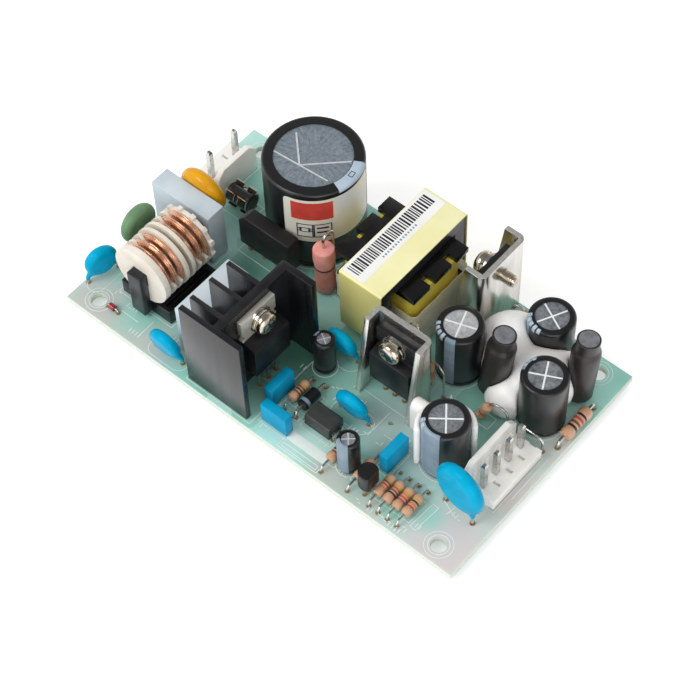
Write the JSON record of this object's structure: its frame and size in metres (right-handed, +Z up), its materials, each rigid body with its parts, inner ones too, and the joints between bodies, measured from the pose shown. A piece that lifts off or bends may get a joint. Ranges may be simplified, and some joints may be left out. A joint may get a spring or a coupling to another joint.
{
  "type": "open frame power supply",
  "caption": "Open frame mains to DC power supply: one circuit board with input filter, bulk capacitor, transformer, heatsinks and output filter, a pin header at each end.",
  "frame": {"origin": "centre of the four mounting holes, on the underside of the circuit board", "axes": "+X along the board from the mains input header to the DC output header, +Z up, normal to the board on the component side, +Y across the board towards the transformer and bulk capacitor"},
  "size_m": [0.105, 0.0609, 0.0281],
  "materials": {
    "circuit_board": "glass fibre laminate with a solder mask",
    "solder_joints": "bright solder",
    "component_leads": "tinned wire",
    "wire_links": "tinned wire",
    "ac_header_housing": "moulded nylon",
    "dc_header_housing": "moulded nylon",
    "header_pins": "tinned",
    "fuse_body": "glass tube, dark inside",
    "fuse_clips": "plated spring steel",
    "varistor": "epoxy coating",
    "inrush_thermistor": "matt coating",
    "x_capacitor_input": "moulded box",
    "x_capacitor_filter": "moulded box",
    "choke_core": "ferrite",
    "choke_bobbin": "moulded nylon",
    "choke_windings": "enamelled copper",
    "choke_base": "moulded tray",
    "y_capacitors": "epoxy coating",
    "y_capacitor_output": "epoxy coating",
    "bridge_rectifier": "moulding compound",
    "bulk_capacitor_can": "plain drawn can",
    "bulk_capacitor_sleeve": "shrunk sleeve",
    "capacitor_bungs": "moulded",
    "output_capacitor_cans": "plain drawn cans",
    "output_capacitor_sleeves": "shrunk sleeve",
    "small_capacitor_cans": "plain drawn cans",
    "small_capacitor_sleeves": "shrunk sleeve",
    "power_resistor": "painted ceramic rod",
    "primary_heatsink": "black anodised extrusion",
    "heatsink_pins": "tinned",
    "switching_transistor_body": "moulding compound",
    "switching_transistor_tab": "plated",
    "transformer_core": "ferrite",
    "transformer_bobbin": "moulding compound",
    "transformer_windings": "polyester tape over wire",
    "transformer_tape": "polyester tape",
    "output_heatsink_left": "bright tinned sheet",
    "output_heatsink_right": "bright tinned sheet",
    "output_rectifiers": "moulding compound",
    "fixing_screws": "nickel plated",
    "spring_washers": "nickel plated",
    "plain_washers": "zinc plated",
    "filter_choke_cores": "ferrite",
    "filter_choke_windings": "enamelled copper",
    "filter_choke_sleeves": "shrunk sleeve",
    "silicone_adhesive": "cured sealant",
    "film_capacitors": "moulded box",
    "optocoupler": "moulding compound",
    "small_transistor": "moulding compound",
    "diode": "moulding compound",
    "resistors": "lacquered body",
    "edge_resistor": "lacquered body",
    "signal_bead": "coloured glass"
  },
  "bodies": {
    "root": {"circuit_board": "circuit_board", "solder_joints": "solder_joints", "component_leads": "component_leads", "wire_links": "wire_links", "ac_header_housing": "ac_header_housing", "dc_header_housing": "dc_header_housing", "header_pins": "header_pins", "fuse_body": "fuse_body", "fuse_clips": "fuse_clips", "varistor": "varistor", "inrush_thermistor": "inrush_thermistor", "x_capacitor_input": "x_capacitor_input", "x_capacitor_filter": "x_capacitor_filter", "choke_core": "choke_core", "choke_bobbin": "choke_bobbin", "choke_windings": "choke_windings", "choke_base": "choke_base", "y_capacitors": "y_capacitors", "y_capacitor_output": "y_capacitor_output", "bridge_rectifier": "bridge_rectifier", "bulk_capacitor_can": "bulk_capacitor_can", "bulk_capacitor_sleeve": "bulk_capacitor_sleeve", "capacitor_bungs": "capacitor_bungs", "output_capacitor_cans": "output_capacitor_cans", "output_capacitor_sleeves": "output_capacitor_sleeves", "small_capacitor_cans": "small_capacitor_cans", "small_capacitor_sleeves": "small_capacitor_sleeves", "power_resistor": "power_resistor", "primary_heatsink": "primary_heatsink", "heatsink_pins": "heatsink_pins", "switching_transistor_body": "switching_transistor_body", "switching_transistor_tab": "switching_transistor_tab", "transformer_core": "transformer_core", "transformer_bobbin": "transformer_bobbin", "transformer_windings": "transformer_windings", "transformer_tape": "transformer_tape", "output_heatsink_left": "output_heatsink_left", "output_heatsink_right": "output_heatsink_right", "output_rectifiers": "output_rectifiers", "fixing_screws": "fixing_screws", "spring_washers": "spring_washers", "plain_washers": "plain_washers", "filter_choke_cores": "filter_choke_cores", "filter_choke_windings": "filter_choke_windings", "filter_choke_sleeves": "filter_choke_sleeves", "silicone_adhesive": "silicone_adhesive", "film_capacitors": "film_capacitors", "optocoupler": "optocoupler", "small_transistor": "small_transistor", "diode": "diode", "resistors": "resistors", "edge_resistor": "edge_resistor", "signal_bead": "signal_bead"}
  },
  "joints": []
}
